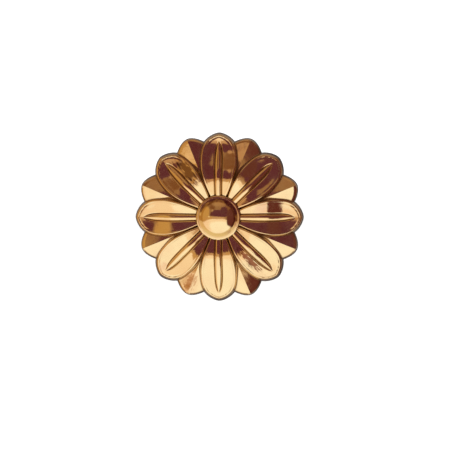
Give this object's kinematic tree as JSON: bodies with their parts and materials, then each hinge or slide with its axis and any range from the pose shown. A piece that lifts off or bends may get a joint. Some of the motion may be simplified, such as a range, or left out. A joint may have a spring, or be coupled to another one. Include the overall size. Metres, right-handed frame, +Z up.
{
  "type": "brass rosette",
  "caption": "Round petalled rosette pressed from sheet brass, domed in front and hollow behind, to fix flat on furniture or a wall.",
  "frame": {"origin": "centre of the flat seat at the rosette's back, where it meets what it is fixed to", "axes": "+Y out of the back, into what it is fixed to, so the face looks along -Y; +Z up through the tip of a front petal"},
  "size_m": [0.06, 0.0105, 0.06],
  "materials": {
    "polished_brass": "polished"
  },
  "bodies": {
    "root": {"rosette": "polished_brass"}
  },
  "joints": []
}
